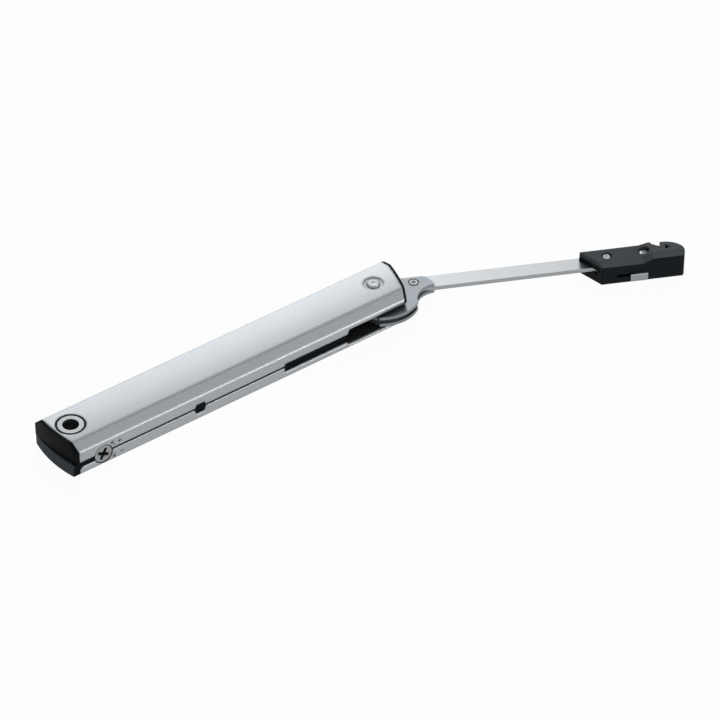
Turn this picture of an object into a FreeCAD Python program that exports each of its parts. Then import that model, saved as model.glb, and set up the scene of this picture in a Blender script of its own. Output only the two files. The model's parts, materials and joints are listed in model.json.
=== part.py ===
import FreeCAD, Part
import math
import os
import re
import Sketcher

# Lid stay: a flat spring housing with a cam lever, a folding arm and a plastic front connector.
# Millimetres. The origin is on the mounting hole's axis at the mounting face,
# +X runs along the housing to the lever, +Y to its far side and +Z up from the mounting face.

DIMENSIONS = {
    # housing section and its two shells
    "case_half": 14.75,
    "case_height": 16.5,
    "case_bevel": 4.15,
    "case_wall": 1.3,
    "edge_round": 1.2,
    "tray_height": 5.8,
    "seam_gap": 0.6,
    # rear edge of the shells, and the end cap's rim, crease and toe behind it, as arcs in plan
    "shell_rear_x": -8.4,
    "shell_rear_y": 9.0,
    "shell_rear_radius": 90.0,
    "rim_rear_x": -10.0,
    "rim_rear_y": 8.0,
    "rim_rear_radius": 90.0,
    "crease_rear_x": -10.5,
    "crease_rear_y": 3.5,
    "crease_rear_radius": 70.0,
    "toe_rear_x": -11.05,
    "toe_rear_y": 1.5,
    "toe_rear_radius": 60.0,
    "tongue_low": 3.7,
    "tongue_end": 3.3,
    "tongue_chamfer": 1.5,
    # front edge of the cover, a long arc and a rounded far corner, and its black trim
    "front_x": 185.4,
    "front_y": 26.0,
    "front_radius": 105.0,
    "corner_y": 6.3,
    "corner_end_x": 179.7,
    "corner_radius": 16.0,
    "trim_width": 1.3,
    "trim_low": 9.2,
    # round front end of the tray
    "tray_end_x": 174.0,
    "stop_angle": 27.0,
    # mounting bush
    "bore_radius": 3.85,
    "shank_radius": 4.9,
    "flange_radius": 6.35,
    "flange_height": 1.3,
    "bush_gap": 0.45,
    # adjusting screw, bevel pair and spindle
    "screw_x": 7.5,
    "screw_z": 5.25,
    "head_radius": 4.62,
    "head_length": 1.1,
    "head_inset": 0.25,
    "neck_radius": 3.6,
    "neck_length": 2.8,
    "stem_radius": 1.5,
    "recess_reach": 3.1,
    "recess_half": 0.55,
    "recess_depth": 2.2,
    "recess_turn": -28.0,
    "run_gap": 0.05,
    "head_gap": 0.1,
    "gear_pitch": 3.0,
    "gear_tip": 3.42,
    "gear_root": 2.45,
    "gear_inner": 0.55,
    "gear_teeth": 12,
    "spindle_radius": 2.0,
    "spindle_tail": 3.0,
    "collar_radius": 2.9,
    "collar_length": 0.9,
    # openings in the near wall
    "window_left": 57.3,
    "window_right": 64.1,
    "window_cut": 1.15,
    "window_low": 2.8,
    "window_mid": 5.7,
    "window_top": 8.3,
    "slot_start": 108.0,
    "slot_step": 144.0,
    "slot_slant": 1.2,
    "slot_low": 2.8,
    "slot_top": 7.9,
    "slot_chamfer": 0.6,
    "mouth_top": 10.4,
    # channel that guides the spring drive
    "frame_gap": 0.1,
    "rail_wide": 1.35,
    "rail_top": 11.6,
    "floor_wall": 0.8,
    "frame_start": 12.8,
    "frame_wall": 3.2,
    "floor_end": 126.0,
    "rail_end": 143.0,
    "lug_gap": 0.15,
    # springs, seat and slider
    "seat_x": 24.0,
    "seat_wide": 5.0,
    "seat_travel": 8.0,
    "drive_gap": 0.1,
    "drive_lift": 0.2,
    "drive_drop": 0.56,
    "spring_gap": 0.25,
    "wire_size": 1.7,
    "spring_turns": 15,
    "spigot_gap": 0.2,
    "spigot_length": 4.0,
    "slider_x": 128.0,
    "slider_wide": 18.0,
    "fork_half": 6.0,
    # main pivot
    "pivot_x": 170.0,
    "pivot_radius": 3.05,
    "pivot_foot": 0.2,
    "pivot_proud": 0.5,
    "dimple_radius": 4.8,
    "dimple_depth": 0.55,
    "washer_radius": 6.0,
    "sleeve_wall": 1.6,
    # lever: two equal plates with a cam disc between them
    "plate_low": 3.1,
    "plate_thick": 1.55,
    "plate_space": 2.2,
    "hub_radius": 11.5,
    "back_x": 5.25,
    "back_y": 10.23,
    "knee_x": 27.86,
    "knee_y": -1.4,
    "knee_radius": 10.4,
    "tip_x": 28.9,
    "tip_y": -9.5,
    "hollow_radius": 10.5,
    "lobe_x": 14.9,
    "lobe_y": -15.2,
    "lobe_radius": 18.45,
    "nose_x": -5.6,
    "nose_y": -15.1,
    "nose_radius": 1.6,
    "nose_back_x": -7.0,
    "nose_back_y": -13.0,
    "cheek_x": -10.5,
    "cheek_y": -4.7,
    "rivet_radius": 1.2,
    "rivet_circle": 6.8,
    "cam_hub": 9.0,
    "cam_start": 14.8,
    "cam_rise": 3.56,
    "cam_gap": 0.1,
    "fork_gap": 1.5,
    "roller_radius": 5.0,
    "roller_pin_radius": 1.25,
    "side_gap": 0.05,
    # arm and its rivet in the lever
    "arm_pin_x": 21.63,
    "arm_pin_y": -2.72,
    "arm_angle": -26.74,
    "arm_length": 92.87,
    "arm_width": 8.35,
    "arm_shift_lever": 1.26,
    "arm_shift_front": 2.49,
    "eye_radius": 4.3,
    "arm_pin_radius": 1.9,
    "arm_pin_head": 2.2,
    "head_pocket": 2.7,
    "head_pocket_depth": 0.6,
    # front connector, measured from its rivet along its own axis
    "grip_angle": -25.9,
    "grip_half": 6.8,
    "grip_length": 36.8,
    "grip_corner": 1.5,
    "grip_left": 11.8,
    "grip_near_left": 2.6,
    "cut_far": 4.6,
    "cut_near_x": 4.2,
    "cut_near_y": 5.8,
    "hook_x": 27.8,
    "hook_y": 4.9,
    "hook_radius": 9.1,
    "jaw_x": 26.1,
    "jaw_y": 0.8,
    "jaw_edge_x": 22.6,
    "jaw_edge_y": 4.2,
    "grip_split": 6.9,
    "grip_left_top": 12.0,
    "grip_right_top": 14.3,
    "grip_chamfer": 2.1,
    "grip_tilt": 0.198,
    "ramp_start": 16.5,
    "ramp_end": 21.0,
    "arm_bed": 4.6,
    "front_rivet_radius": 1.9,
    "front_rivet_foot": 0.4,
    "rivet_hole": 2.45,
    "rivet_recess": 0.6,
    "grip_screw_x": 18.2,
    "grip_screw_radius": 1.3,
    "grip_screw_head": 2.3,
    "grip_screw_hole": 2.65,
    "grip_screw_depth": 2.0,
    "grip_screw_foot": 3.0,
    "liner_thick": 1.0,
    "liner_proud": 0.1,
    "liner_half": 5.6,
    "liner_right": 3.6,
    # sliding latch on the connector's near side
    "latch_slot_start": 3.8,
    "latch_slot_end": 19.3,
    "latch_slot_low": 3.2,
    "latch_slot_top": 5.1,
    "latch_slot_depth": 1.9,
    "latch_start": 10.4,
    "latch_end": 18.8,
    "latch_low": 0.6,
    "latch_top": 4.7,
    "latch_sheet": 0.8,
    "latch_gap": 0.1,
    "latch_rib_start": 12.0,
    "latch_rib_end": 15.0,
    "latch_spring_radius": 0.75,
    "latch_wire": 0.3,
    "latch_turns": 6,
    # three-cornered hole through the connector's hook
    "hook_hole_x": 28.9,
    "hook_hole_y": 1.9,
    "hook_hole_low_x": 28.1,
    "hook_hole_low_y": -2.2,
    "hook_hole_tip_x": 31.0,
    "hook_hole_tip_y": -0.7,
}

doc = FreeCAD.newDocument("lid_stay")
sizes = doc.addObject("Spreadsheet::Sheet", "Sizes")
for row, (alias, value) in enumerate(DIMENSIONS.items(), start=1):
    sizes.set("A%d" % row, alias)
    sizes.set("B%d" % row, str(value))
    sizes.setAlias("B%d" % row, alias)
doc.recompute()

ALIAS = re.compile(r"[a-z]+(?:_[a-z]+)+")
pieces = []


def bound(formula):
    """The formula with every size name looked up in the sheet."""
    return ALIAS.sub(lambda found: "Sizes." + found.group(0), formula)


def number(formula):
    """The formula's present value."""
    return float(sizes.evalExpression(bound(formula)))


def vector(x, y, z=0.0):
    return FreeCAD.Vector(x, y, z)


def piece(name, kind="PartDesign::Body"):
    """A new sub-part, whose label names its file."""
    made = doc.addObject(kind, name)
    made.Label = name
    pieces.append(made)
    return made


def place(made, x="0", y="0", z="0", angle="0"):
    """Put a sub-part at a point, turned about the vertical."""
    spin = FreeCAD.Rotation(vector(0, 0, 1), number(angle))
    made.Placement = FreeCAD.Placement(vector(number(x), number(y), number(z)), spin)
    made.setExpression("Placement.Base.x", bound(x))
    made.setExpression("Placement.Base.y", bound(y))
    made.setExpression("Placement.Base.z", bound(z))
    made.setExpression("Placement.Rotation.Angle", bound(angle))


def arc(start, end, radius, side):
    """The short arc from start to end; side is +1 where it turns left and -1 where it turns right."""
    chord = end - start
    middle = (start + end) * 0.5
    rise = math.sqrt(max(radius ** 2 - chord.Length ** 2 / 4, 0.0))
    left = vector(-chord.y, chord.x).normalize()
    centre = middle + left * rise * side
    first, last = (start, end) if side > 0 else (end, start)
    circle = Part.Circle(centre, vector(0, 0, 1), radius)
    begin = math.atan2(first.y - centre.y, first.x - centre.x)
    finish = math.atan2(last.y - centre.y, last.x - centre.x)
    return Part.ArcOfCircle(circle, begin, finish)


def tie(sketch, kind, *where):
    """One driven constraint: the last item of where is its formula."""
    index = sketch.addConstraint(Sketcher.Constraint(kind, *where[:-1], number(where[-1])))
    sketch.setExpression("Constraints[%d]" % index, bound(where[-1]))


def add_round(sketch, x, y, radius):
    edge = sketch.addGeometry(Part.Circle(vector(number(x), number(y)), vector(0, 0, 1), number(radius)))
    tie(sketch, "DistanceX", -1, 1, edge, 3, x)
    tie(sketch, "DistanceY", -1, 1, edge, 3, y)
    tie(sketch, "Radius", edge, radius)


def add_loop(sketch, corners):
    """A closed outline. A corner is x, y and, where an arc leaves it, that arc's radius and side."""
    spots = [vector(number(corner[0]), number(corner[1])) for corner in corners]
    ends = []
    for index, corner in enumerate(corners):
        here = spots[index]
        there = spots[(index + 1) % len(spots)]
        if len(corner) == 2:
            edge = sketch.addGeometry(Part.LineSegment(here, there))
            ends.append((edge, 1, 2))
        else:
            edge = sketch.addGeometry(arc(here, there, number(corner[2]), corner[3]))
            ends.append((edge, 1, 2) if corner[3] > 0 else (edge, 2, 1))
            tie(sketch, "Radius", edge, corner[2])
    for index, corner in enumerate(corners):
        before = ends[index - 1]
        after = ends[index]
        sketch.addConstraint(Sketcher.Constraint("Coincident", before[0], before[2], after[0], after[1]))
        tie(sketch, "DistanceX", -1, 1, after[0], after[1], corner[0])
        tie(sketch, "DistanceY", -1, 1, after[0], after[1], corner[1])


def draw(body, plane, loops, lift="0"):
    """A sketch on one of the body's own planes. A loop is a list of corners, or a round as x, y, radius."""
    sketch = body.newObject("Sketcher::SketchObject", body.Label + "_outline")
    support = [item for item in body.Origin.OriginFeatures if item.Role == plane + "_Plane"]
    sketch.AttachmentSupport = [(support[0], "")]
    sketch.MapMode = "FlatFace"
    sketch.setExpression("AttachmentOffset.Base.z", bound(lift))
    for loop in loops:
        if isinstance(loop, tuple):
            add_round(sketch, *loop)
        else:
            add_loop(sketch, loop)
    return sketch


def pad(body, plane, loops, lift, length):
    """Add material from the lifted plane along its normal: +Z, -Y or +X."""
    feature = body.newObject("PartDesign::Pad", body.Label + "_pad")
    feature.Profile = draw(body, plane, loops, lift)
    feature.setExpression("Length", bound(length))


def pocket(body, plane, loops, lift, depth):
    """Take material from the lifted plane against its normal: -Z, +Y or -X."""
    doc.recompute()
    feature = body.newObject("PartDesign::Pocket", body.Label + "_pocket")
    feature.Profile = draw(body, plane, loops, lift)
    feature.setExpression("Length", bound(depth))


def turn(body, plane, corners, axis):
    """Turn an outline about the sketch's upright (V) or level (H) axis."""
    feature = body.newObject("PartDesign::Revolution", body.Label + "_turned")
    feature.Profile = draw(body, plane, [corners])
    feature.ReferenceAxis = (feature.Profile[0], [axis + "_Axis"])
    feature.Angle = 360


def box(x_low, x_high, y_low, y_high):
    return [(x_low, y_low), (x_high, y_low), (x_high, y_high), (x_low, y_high)]


# Margins that carry a cut past the faces it opens.
BEYOND = "20"
FRAME = box("-60", "260", "-60", "60")

# Housing outlines

def arc_x(prefix, y):
    """X at this y of the rear arc that the named sizes give."""
    names = {"x": prefix + "_x", "y": prefix + "_y", "r": prefix + "_radius", "at": "(" + y + ")"}
    return "%(x)s + %(r)s - sqrt(%(r)s ^ 2 - (%(at)s - %(y)s) ^ 2)" % names


def front_at(y):
    """X of the cover's front arc at this y."""
    return "front_x - front_radius + sqrt(front_radius ^ 2 - (%s - front_y) ^ 2)" % y


def front_edge(shift, side=1):
    """Front edge of the cover from its near side to its far side, moved along X."""
    near = (front_at("-" + BEYOND) + " + " + shift, "-" + BEYOND)
    middle = (front_at("corner_y") + " + " + shift, "corner_y")
    corner = ("corner_end_x + " + shift, "case_half")
    far = ("corner_end_x + " + shift, BEYOND)
    if side > 0:
        return [near + ("front_radius", 1), middle + ("corner_radius", 1), corner, far]
    return [far, corner + ("corner_radius", -1), middle + ("front_radius", -1), near]


def cover_plan():
    return front_edge("0") + [
        (arc_x("shell_rear", BEYOND), BEYOND, "shell_rear_radius", 1),
        (arc_x("shell_rear", "-" + BEYOND), "-" + BEYOND),
    ]


def upper_section(inset, low):
    """Upper half of the housing section, with rounded bevel edges outside and plain ones inside."""
    half = "case_half - " + inset
    top = "case_height - " + inset
    bevel = "(case_bevel - %s * (2 - sqrt(2)))" % inset
    if inset != "0":
        return [("-(%s)" % half, low), ("-(%s)" % half, "%s - %s" % (top, bevel)),
                ("-(%s - %s)" % (half, bevel), top), ("%s - %s" % (half, bevel), top),
                (half, "%s - %s" % (top, bevel)), (half, low)]
    back = "edge_round * tan(22.5)"
    slant = "edge_round * tan(22.5) * sqrt(0.5)"
    right = [(half, low),
             (half, "%s - case_bevel - %s" % (top, back), "edge_round", 1),
             ("case_half - " + slant, "%s - case_bevel + %s" % (top, slant)),
             ("case_half - case_bevel + " + slant, "%s - %s" % (top, slant), "edge_round", 1),
             ("case_half - case_bevel - " + back, top)]
    left = [("-(case_half - case_bevel - %s)" % back, top, "edge_round", 1),
            ("-(case_half - case_bevel + %s)" % slant, "%s - %s" % (top, slant)),
            ("-(case_half - %s)" % slant, "%s - case_bevel + %s" % (top, slant), "edge_round", 1),
            ("-(%s)" % half, "%s - case_bevel - %s" % (top, back)),
            ("-(%s)" % half, low)]
    return right + left


def trim_section(body, front, length, inset):
    """Take away what stands outside the housing section."""
    pocket(body, "YZ", [box("-60", "60", "-60", "60"), upper_section(inset, "-" + BEYOND)], front, length)


def near_opening(body, loops, depth="case_wall + frame_gap"):
    """Cut through the near wall, from outside it."""
    pocket(body, "XZ", loops, "case_half + 1", depth + " + 1")


def hexagon(gap):
    left = "window_left + " + gap
    right = "window_right - " + gap
    inner_left = "window_left + window_cut + " + gap
    inner_right = "window_right - window_cut - " + gap
    low = "window_low + " + gap
    top = "window_top - " + gap
    return [(left, "window_mid"), (inner_left, low), (inner_right, low),
            (right, "window_mid"), (inner_right, top), (inner_left, top)]


SLOT = [
    ("slot_start", "slot_low + slot_chamfer"), ("slot_start + slot_chamfer", "slot_low"),
    ("slot_step", "slot_low"), ("slot_step + slot_slant", "case_wall"),
    ("front_x", "case_wall"), ("front_x", "mouth_top"),
    ("slot_step + slot_slant", "mouth_top"), ("slot_step", "slot_top"),
    ("slot_start + slot_chamfer", "slot_top"), ("slot_start", "slot_top - slot_chamfer"),
]
SCREW_HOLE = ("screw_x", "screw_z", "head_radius + head_gap")


def tongue(rear, top):
    """Side view of the black strip between the shells' rear ends, with a slanted lower corner."""
    edge = arc_x("shell_rear", "-case_half")
    return [(rear, "tongue_low - tongue_chamfer"), (edge, "tongue_low - tongue_chamfer"),
            (edge + " + tongue_chamfer", "tongue_low"), ("tongue_end", "tongue_low"),
            ("tongue_end", top), (rear, top)]


def top_cover():
    body = piece("top_cover")
    seam = "tray_height + seam_gap"
    pad(body, "YZ", [upper_section("0", seam) + list(upper_section("case_wall", seam))],
        "-" + BEYOND, "pivot_x + 2 * " + BEYOND)
    pocket(body, "XY", [FRAME, cover_plan()], "case_height + 1", "case_height + 1")
    pocket(body, "XY", [("0", "0", "flange_radius + bush_gap")], "case_height + 1", "case_wall + 2")
    pocket(body, "XY", [("pivot_x", "0", "dimple_radius")], "case_height + 1", "dimple_depth + 1")
    pocket(body, "XY", [("pivot_x", "0", "pivot_radius")], "case_height + 1", "case_wall + 2")
    near_opening(body, [SCREW_HOLE])
    near_opening(body, [hexagon("0")])
    near_opening(body, [SLOT])


def base_tray():
    body = piece("base_tray")
    half = "case_half - case_wall"
    pad(body, "YZ", [[("-case_half", "0"), ("case_half", "0"), ("case_half", "tray_height"),
                      (half, "tray_height"), (half, "case_wall"), ("-(%s)" % half, "case_wall"),
                      ("-(%s)" % half, "tray_height"), ("-case_half", "tray_height")]],
        "-" + BEYOND, "tray_end_x + " + BEYOND)
    pad(body, "XY", [[("tray_end_x", "-case_half", "case_half", 1), ("tray_end_x + case_half", "0", "case_half", 1),
                      ("tray_end_x", "case_half")]], "0", "case_wall")
    reach = "tray_end_x + %s * cos(stop_angle)"
    rise = "%s * sin(stop_angle)"
    pad(body, "XY", [[(reach % "case_half", rise % "case_half", "case_half", 1), ("tray_end_x", "case_half"),
                      ("tray_end_x", half, half, -1), (reach % ("(%s)" % half), rise % ("(%s)" % half))]],
        "0", "tray_height")
    pocket(body, "XY", [FRAME, [(arc_x("shell_rear", BEYOND), BEYOND, "shell_rear_radius", 1),
                                (arc_x("shell_rear", "-" + BEYOND), "-" + BEYOND),
                                ("250", "-" + BEYOND), ("250", BEYOND)]],
           "tray_height + 1", "tray_height + 1")
    pocket(body, "XY", [("0", "0", "shank_radius")], "case_wall + 1", "case_wall + 1")
    pocket(body, "XY", [("pivot_x", "0", "pivot_radius")], "case_wall + 1", "case_wall + 1")
    near_opening(body, [tongue("-" + BEYOND, "tray_height + 1")])
    near_opening(body, [SCREW_HOLE])
    near_opening(body, [hexagon("0")])
    near_opening(body, [SLOT])


def rear_cap():
    """End cap, whose back slopes out from the rim to the toe."""
    body = piece("rear_cap")
    inner = [(arc_x("shell_rear", "-case_half"), "-case_half", "shell_rear_radius", -1),
             (arc_x("shell_rear", "case_half"), "case_half")]

    def plan(prefix):
        return inner + [(arc_x(prefix, "case_half"), "case_half", prefix + "_radius", 1),
                        (arc_x(prefix, "-case_half"), "-case_half")]

    flare = body.newObject("PartDesign::AdditiveLoft", "toe")
    flare.Profile = draw(body, "XY", [plan("toe_rear")], "0")
    flare.Sections = [draw(body, "XY", [plan("crease_rear")], "tray_height")]
    flare.Ruled = True
    pad(body, "XY", [plan("rim_rear")], "tray_height", "case_height - tray_height")
    pad(body, "XZ", [tongue(arc_x("shell_rear", "case_half"), "tray_height + seam_gap")],
        "case_half - case_wall", "case_wall")
    near_opening(body, [SCREW_HOLE])
    trim_section(body, BEYOND, "2 * " + BEYOND, "0")


def front_trim():
    body = piece("front_trim")
    pad(body, "XY", [front_edge("trim_width") + front_edge("0", -1)], "trim_low", "case_height - trim_low")
    trim_section(body, "pivot_x + 2 * " + BEYOND, "3 * " + BEYOND, "0")
    pocket(body, "XY", [box("pivot_x", "front_x + trim_width", "-" + BEYOND, "case_wall - case_half")],
           "mouth_top", "case_height")


def mounting_bush():
    body = piece("mounting_bush")
    under = "case_height - flange_height"
    turn(body, "XZ", [("bore_radius", "0"), ("shank_radius", "0"), ("shank_radius", under),
                      ("flange_radius", under), ("flange_radius", "case_height"),
                      ("bore_radius", "case_height")], "V")


def inner_frame():
    body = piece("inner_frame")
    half = "case_half - case_wall - frame_gap"
    low = "case_wall + frame_gap"
    pad(body, "XY", [box("frame_start", "floor_end", "-(%s)" % half, half)], low, "floor_wall")
    for lift in (half + " - rail_wide", "-(%s)" % half):
        pad(body, "XZ", [box("frame_start", "rail_end", low, "rail_top")], lift, "rail_wide")
    pad(body, "YZ", [box("-(%s)" % half, half, low, "rail_top"), ("0", "screw_z", "spindle_radius + run_gap")],
        "frame_start", "frame_wall")
    pad(body, "XZ", [hexagon("lug_gap")], half, "case_wall + frame_gap - 0.5")


# Room for the spring drive: between the rails, above the frame's floor and under the cover's bevel

LEVER_TOP = "plate_low + 2 * plate_thick + plate_space"
UPPER_PLATE = "plate_low + plate_thick + plate_space"
DISC_LOW = "plate_low + plate_thick"
DRIVE_HALF = "(case_half - case_wall - frame_gap - rail_wide - drive_gap)"
DRIVE_LOW = "(case_wall + frame_gap + floor_wall + drive_lift)"
DRIVE_TOP = ("(case_height + case_half - 2 * case_wall - (case_bevel - case_wall * (2 - sqrt(2))) - %s"
             " - drive_drop)" % DRIVE_HALF)
SPRING_RADIUS = "((%s - spindle_radius) / 2 - spring_gap)" % DRIVE_HALF
SPRING_Y = "(spindle_radius + spring_gap + %s)" % SPRING_RADIUS
SPRING_Z = "((%s + %s) / 2)" % (DRIVE_LOW, DRIVE_TOP)
SPIGOT = "(%s - wire_size - spigot_gap)" % SPRING_RADIUS


def pivot_parts():
    body = piece("pivot_pin")
    top = "case_height + pivot_proud"
    turn(body, "XZ", [("0", "pivot_foot"), ("pivot_radius", "pivot_foot"), ("pivot_radius", top + " - 0.3"),
                      ("pivot_radius - 0.5", top), ("0", top)], "V")
    place(body, "pivot_x")
    body = piece("thrust_washer")
    pad(body, "XY", [("0", "0", "washer_radius"), ("0", "0", "pivot_radius")],
        "case_wall", "plate_low - case_wall - side_gap")
    place(body, "pivot_x")
    body = piece("spacer_sleeve")
    pad(body, "XY", [("0", "0", "pivot_radius + sleeve_wall"), ("0", "0", "pivot_radius")],
        LEVER_TOP + " + side_gap", "case_height - case_wall - (%s) - side_gap" % LEVER_TOP)
    place(body, "pivot_x")


# Adjusting screw with its bevel pinion, and the spindle that it turns

def adjusting_screw():
    body = piece("adjusting_screw")
    face = "-(case_half - head_inset)"
    neck = "-(case_half - head_inset - head_length)"
    stem = "-(case_half - head_inset - head_length - neck_length)"
    turn(body, "YZ", [(face, "0"), ("-gear_pitch", "0"), ("-gear_pitch", "stem_radius"), (stem, "stem_radius"),
                      (stem, "neck_radius"), (neck, "neck_radius"), (neck, "head_radius"), (face, "head_radius")],
         "H")
    for angle in ("recess_turn", "(recess_turn + 90)"):
        along = ("recess_reach * cos(%s)" % angle, "recess_reach * sin(%s)" % angle)
        across = ("recess_half * sin(%s)" % angle, "recess_half * cos(%s)" % angle)
        bar = [("-(%s) + %s" % (along[0], across[0]), "-(%s) - %s" % (along[1], across[1])),
               ("%s + %s" % (along[0], across[0]), "%s - %s" % (along[1], across[1])),
               ("%s - %s" % (along[0], across[0]), "%s + %s" % (along[1], across[1])),
               ("-(%s) - %s" % (along[0], across[0]), "-(%s) + %s" % (along[1], across[1]))]
        pocket(body, "XZ", [bar], "case_half", "recess_depth + head_inset")
    place(body, "screw_x", "0", "screw_z")


def spindle():
    body = piece("spindle")
    collar = "frame_start + frame_wall + head_gap"
    start = "screw_x + gear_pitch"
    end = "seat_x + seat_wide + seat_travel + spindle_tail"
    turn(body, "XZ", [(start, "0"), (end, "0"), (end, "spindle_radius"),
                      (collar + " + collar_length", "spindle_radius"),
                      (collar + " + collar_length", "collar_radius"),
                      (collar, "collar_radius"), (collar, "spindle_radius"), (start, "spindle_radius")], "H")
    place(body, "0", "0", "screw_z")


def faceted(name, rings):
    """A solid with flat facets between neighbouring rings of points, and a flat face on each end."""
    faces = [Part.Face(Part.makePolygon(ring + ring[:1])) for ring in (rings[0], rings[-1])]
    for low, high in zip(rings, rings[1:]):
        for index in range(len(low)):
            before, here, above, beside = low[index - 1], low[index], high[index], high[index - 1]
            for corners in ([before, here, above], [before, above, beside]):
                faces.append(Part.Face(Part.makePolygon(corners + corners[:1])))
    shell = Part.makeShell(faces)
    shell.sewShape()
    solid = Part.makeSolid(shell)
    if solid.Volume < 0:
        solid.reverse()
    made = piece(name, "Part::Feature")
    made.Shape = solid
    return made


def bevel_gear(name, axis, phase):
    """Bevel gear with a 45 degree pitch cone, whose teeth all run to the cone's apex."""
    teeth = int(number("gear_teeth"))
    profile = ((-0.28, "gear_root"), (-0.12, "gear_tip"), (0.12, "gear_tip"), (0.28, "gear_root"))
    rings = []
    for scale in (1.0, number("gear_inner")):
        ring = []
        for tooth in range(teeth):
            for share, radius in profile:
                angle = math.radians((tooth + share) * 360.0 / teeth + phase)
                reach = number(radius) * scale
                ring.append(vector(reach * math.cos(angle), reach * math.sin(angle), number("gear_pitch") * scale))
        rings.append(ring)
    made = faceted(name, rings)
    spin = FreeCAD.Rotation(vector(0, 0, 1), axis)
    made.Placement = FreeCAD.Placement(vector(number("screw_x"), 0, number("screw_z")), spin)


def spring_seat():
    body = piece("spring_seat")
    pad(body, "YZ", [box("-" + DRIVE_HALF, DRIVE_HALF, DRIVE_LOW, DRIVE_TOP),
                     ("0", "screw_z", "spindle_radius + run_gap")], "seat_x", "seat_wide")
    for side in ("", "-"):
        pad(body, "YZ", [(side + SPRING_Y, SPRING_Z, SPIGOT)], "seat_x + seat_wide", "spigot_length")


def coil(name, start, length, radius, wire, turns, runs):
    """Coil spring along local X: a four-sided wire in straight runs, so many to a turn."""
    rings = []
    for index in range(turns * runs + 1):
        angle = 2 * math.pi * index / runs
        along = start + wire / 2 + (length - wire) * index / (turns * runs)
        out = vector(0, math.cos(angle), math.sin(angle))
        centre = vector(along, 0, 0) + out * (radius - wire / 2)
        rings.append([centre + out * (wire / 2 * a) + vector(wire / 2 * b, 0, 0)
                      for a, b in ((1, 0), (0, 1), (-1, 0), (0, -1))])
    return faceted(name, rings)


def main_springs():
    start = number("seat_x + seat_wide")
    length = number("slider_x") - start
    for name, side in (("spring_near", -1), ("spring_far", 1)):
        made = coil(name, start, length, number(SPRING_RADIUS), number("wire_size"),
                    int(number("spring_turns")), 8)
        made.Placement.Base = vector(0, side * number(SPRING_Y), number(SPRING_Z))


def slider():
    body = piece("slider")
    front = "pivot_x - cam_start + fork_gap"
    pad(body, "XY", [box("slider_x", "slider_x + slider_wide", "-" + DRIVE_HALF, DRIVE_HALF)],
        DRIVE_LOW, DRIVE_TOP + " - " + DRIVE_LOW)
    fork = box("slider_x + slider_wide - 1", front, "-fork_half", "fork_half")
    for low in ("plate_low", UPPER_PLATE):
        pad(body, "XY", [fork], low, "plate_thick - side_gap")
    pocket(body, "XY", [("pivot_x - cam_start", "0", "roller_pin_radius")], LEVER_TOP, "plate_space + 2 * plate_thick")
    for side in ("", "-"):
        pad(body, "YZ", [(side + SPRING_Y, SPRING_Z, SPIGOT)], "slider_x - spigot_length", "spigot_length")


def roller_parts():
    body = piece("roller_pin")
    pad(body, "XY", [("0", "0", "roller_pin_radius")], "plate_low", LEVER_TOP + " - plate_low - side_gap")
    place(body, "pivot_x - cam_start")
    body = piece("roller")
    pad(body, "XY", [("0", "0", "roller_radius"), ("0", "0", "roller_pin_radius + run_gap")],
        DISC_LOW + " + side_gap", "plate_space - 2 * side_gap")
    place(body, "pivot_x - cam_start")


# Lever

def rivet_spots():
    return [("rivet_circle * cos(%d)" % angle, "rivet_circle * sin(%d)" % angle, "rivet_radius")
            for angle in (30, 150, 270)]


def lever_plates():
    outline = [
        ("back_x", "back_y"), ("cheek_x", "cheek_y"), ("nose_back_x", "nose_back_y"),
        ("nose_x", "nose_y"), ("lobe_x", "lobe_y"), ("tip_x", "tip_y"), ("knee_x", "knee_y"),
    ]
    bends = {0: ("hub_radius", 1), 2: ("nose_radius", 1), 3: ("lobe_radius", 1),
             4: ("hollow_radius", -1), 5: ("knee_radius", 1)}
    corners = [spot + bends.get(index, ()) for index, spot in enumerate(outline)]
    for name, low in (("lever_plate_lower", "plate_low"), ("lever_plate_upper", UPPER_PLATE)):
        body = piece(name)
        pad(body, "XY", [corners, ("0", "0", "pivot_radius + run_gap"),
                         ("arm_pin_x", "arm_pin_y", "arm_pin_radius")] + rivet_spots(), low, "plate_thick")
        if name == "lever_plate_upper":
            pocket(body, "XY", [("arm_pin_x", "arm_pin_y", "head_pocket")], LEVER_TOP, "head_pocket_depth")
        place(body, "pivot_x")


def cam_disc():
    """Cam whose edge keeps in touch with the roller while the slider moves in step with the lever."""
    gap = number("roller_radius") + number("cam_gap")
    start = number("cam_start")
    rise = number("cam_rise")
    points = []
    for degrees in range(-16, 121, 17):
        turned = math.radians(degrees)
        reach = start + rise * turned
        out = vector(-math.cos(turned), -math.sin(turned))
        along = vector(math.sin(turned), -math.cos(turned))
        normal = (out * reach - along * rise).normalize()
        points.append(out * reach - normal * gap)
    edge = [Part.Arc(*points[index:index + 3]).toShape() for index in range(0, len(points) - 2, 2)]
    hub = number("cam_hub")
    enter = vector(hub * math.cos(math.radians(330)), hub * math.sin(math.radians(330)))
    middle = vector(hub * math.cos(math.radians(70)), hub * math.sin(math.radians(70)))
    leave = vector(hub * math.cos(math.radians(150)), hub * math.sin(math.radians(150)))
    edges = edge + [Part.makeLine(points[-1], enter), Part.Arc(enter, middle, leave).toShape(),
                    Part.makeLine(leave, points[0])]
    solid = Part.Face(Part.Wire(edges)).extrude(vector(0, 0, number("plate_space")))
    height = number("plate_space")
    for x, y, radius in [("0", "0", "pivot_radius + run_gap")] + rivet_spots():
        solid = solid.cut(Part.makeCylinder(number(radius), height, vector(number(x), number(y))))
    made = piece("cam_disc", "Part::Feature")
    made.Shape = solid
    made.Placement.Base = vector(number("pivot_x"), 0, number(DISC_LOW))


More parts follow.
